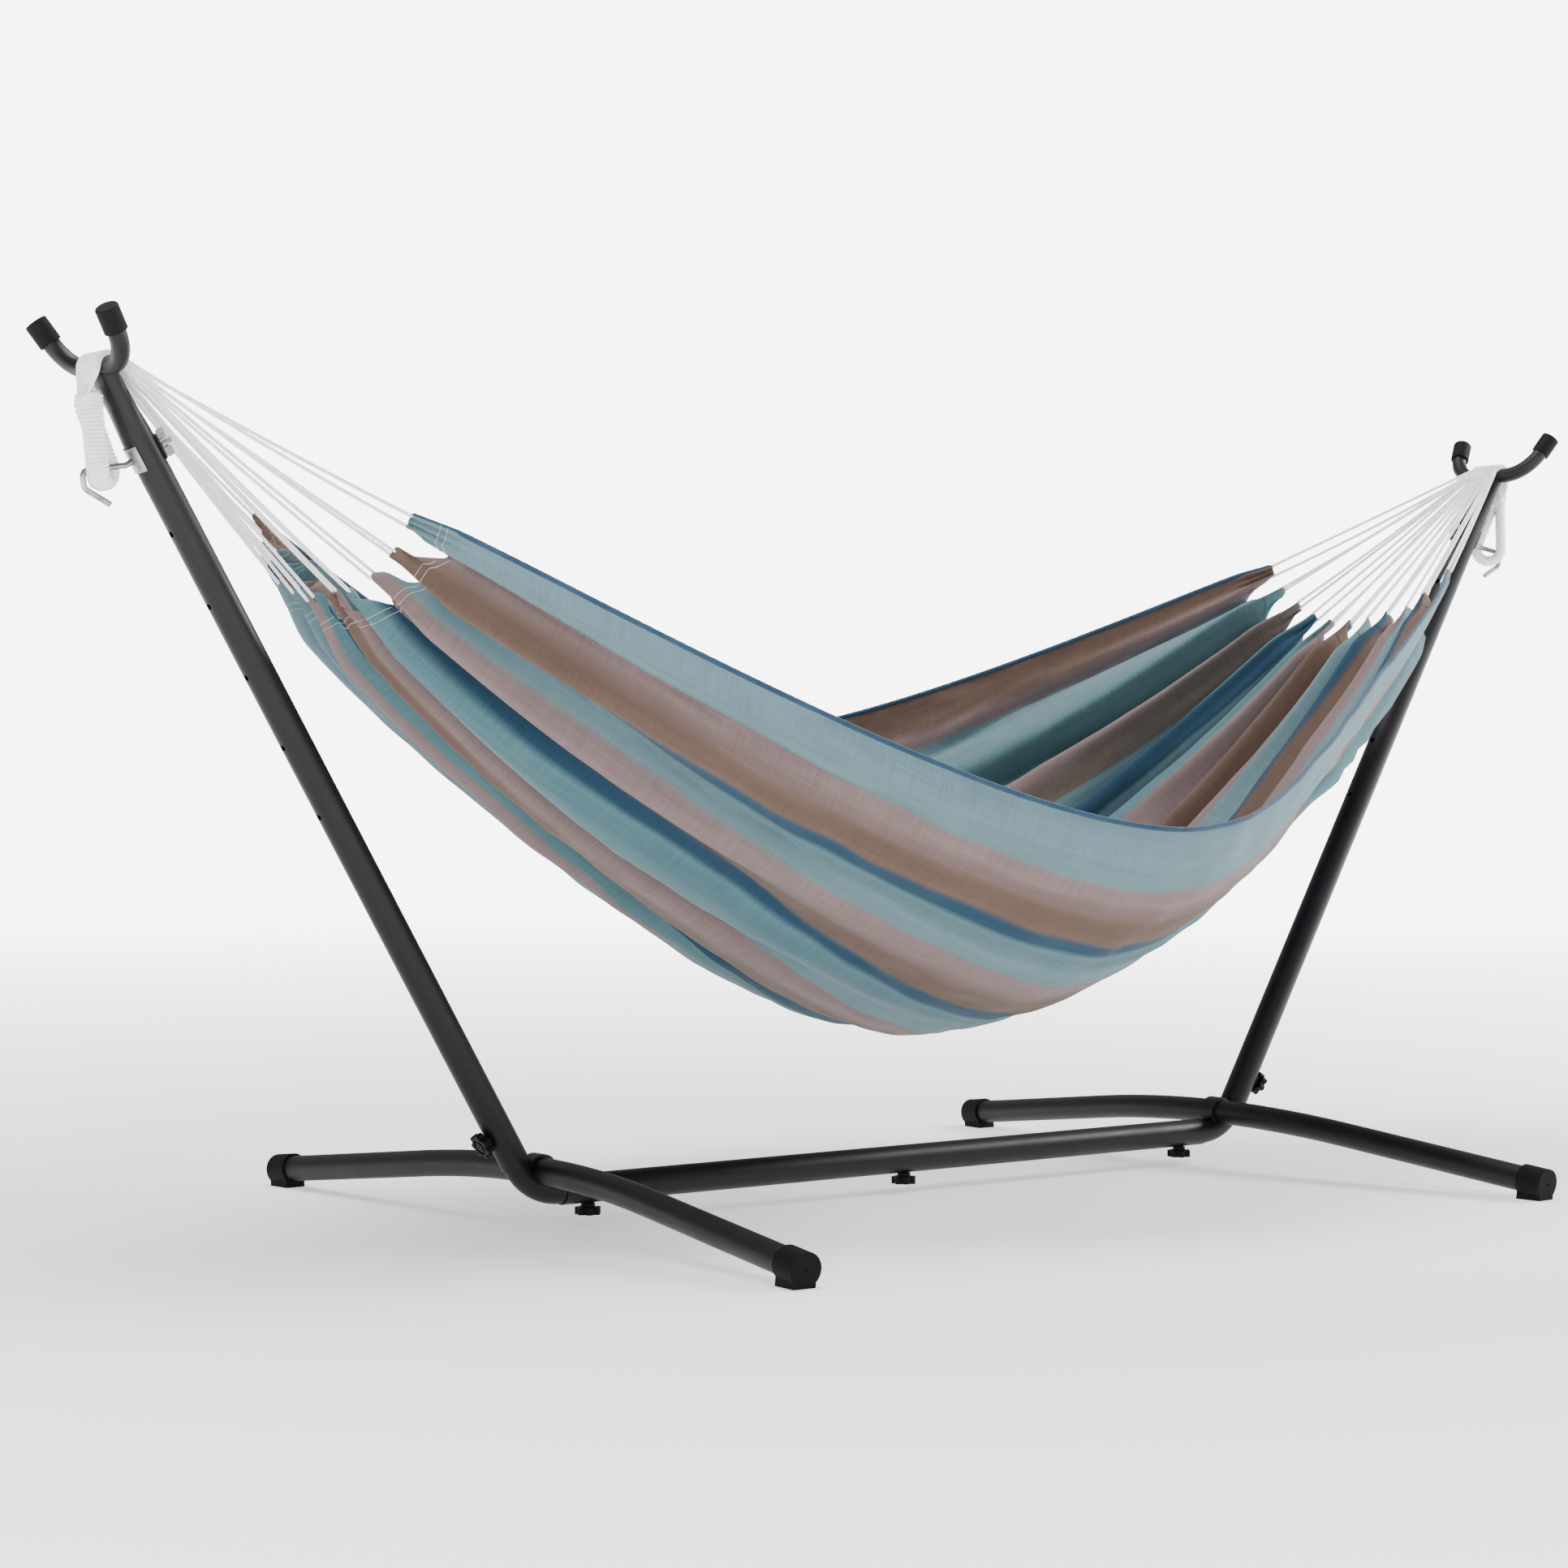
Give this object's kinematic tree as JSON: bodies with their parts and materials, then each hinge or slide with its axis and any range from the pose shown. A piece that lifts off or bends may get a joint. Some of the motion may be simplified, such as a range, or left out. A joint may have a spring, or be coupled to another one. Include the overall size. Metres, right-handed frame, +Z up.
{
  "type": "hammock on stand",
  "caption": "Striped cloth hammock slung by white cords between the forks of a black tubular steel stand with arched base tubes.",
  "frame": {"origin": "on the floor, midway between the four feet, under the middle of the hammock", "axes": "+X along the hammock and the beam, +Y across it, +Z up"},
  "size_m": [2.5144, 1.183, 1.1061],
  "materials": {
    "black_powder_coat": "satin",
    "black_rubber": "matte",
    "moulded_nylon": "matte",
    "zinc_plate": "satin",
    "white_rope": "matte",
    "striped_cloth": "matte",
    "blue_piping": "matte"
  },
  "bodies": {
    "stand": {"base_collar_left": "black_powder_coat", "base_collar_right": "black_powder_coat", "base_tube_left": "black_powder_coat", "base_tube_right": "black_powder_coat", "beam_coupler": "black_powder_coat", "beam_left": "black_powder_coat", "beam_right": "black_powder_coat", "elbow_left": "black_powder_coat", "elbow_right": "black_powder_coat", "end_loop_left": "white_rope", "end_loop_right": "white_rope", "foot_left_front": "black_rubber", "foot_left_rear": "black_rubber", "foot_right_front": "black_rubber", "foot_right_rear": "black_rubber", "fork_left": "black_powder_coat", "fork_right": "black_powder_coat", "hook_left": "zinc_plate", "hook_plate_left": "zinc_plate", "hook_plate_right": "zinc_plate", "hook_right": "zinc_plate", "horn_cap_left_front": "black_rubber", "horn_cap_left_rear": "black_rubber", "horn_cap_right_front": "black_rubber", "horn_cap_right_rear": "black_rubber", "saddle_pad_left": "moulded_nylon", "saddle_pad_right": "moulded_nylon", "upright_left": "black_powder_coat", "upright_right": "black_powder_coat", "weld_nuts": "zinc_plate"},
    "hammock": {"cords_left": "white_rope", "cords_right": "white_rope", "edge_cord_front": "blue_piping", "edge_cord_rear": "blue_piping", "hammock_bed": "striped_cloth"},
    "beam_knob_left": {"beam_knob_left": "moulded_nylon"},
    "beam_knob_middle": {"beam_knob_middle": "moulded_nylon"},
    "beam_knob_right": {"beam_knob_right": "moulded_nylon"},
    "knee_knob_left": {"knee_knob_left": "moulded_nylon"},
    "knee_knob_right": {"knee_knob_right": "moulded_nylon"},
    "wing_nut_left": {"wing_nut_left": "zinc_plate"},
    "wing_nut_right": {"wing_nut_right": "zinc_plate"}
  },
  "joints": [
    {"name": "hammock_swing", "type": "hinge", "parent": "stand", "child": "hammock", "pos_m": [0, 0, 1.05143], "axis": [1, 0, 0], "range_deg": [-20, 20]},
    {"name": "beam_knob_left_turn", "type": "hinge", "parent": "stand", "child": "beam_knob_left", "pos_m": [-0.525, 0, 0.02], "axis": [0, 0, -1], "continuous": true},
    {"name": "beam_knob_middle_turn", "type": "hinge", "parent": "stand", "child": "beam_knob_middle", "pos_m": [0, 0, 0.02], "axis": [0, 0, -1], "continuous": true},
    {"name": "beam_knob_right_turn", "type": "hinge", "parent": "stand", "child": "beam_knob_right", "pos_m": [0.525, 0, 0.02], "axis": [0, 0, -1], "continuous": true},
    {"name": "knee_knob_left_turn", "type": "hinge", "parent": "stand", "child": "knee_knob_left", "pos_m": [-0.6862, 0, 0.11055], "axis": [-0.8581, 0, -0.5135], "continuous": true},
    {"name": "wing_nut_left_turn", "type": "hinge", "parent": "stand", "child": "wing_nut_left", "pos_m": [-1.12919, 0, 0.95783], "axis": [0.8581, 0, 0.5135], "continuous": true},
    {"name": "knee_knob_right_turn", "type": "hinge", "parent": "stand", "child": "knee_knob_right", "pos_m": [0.6862, 0, 0.11055], "axis": [0.8581, 0, -0.5135], "continuous": true},
    {"name": "wing_nut_right_turn", "type": "hinge", "parent": "stand", "child": "wing_nut_right", "pos_m": [1.12919, 0, 0.95783], "axis": [-0.8581, 0, 0.5135], "continuous": true}
  ]
}
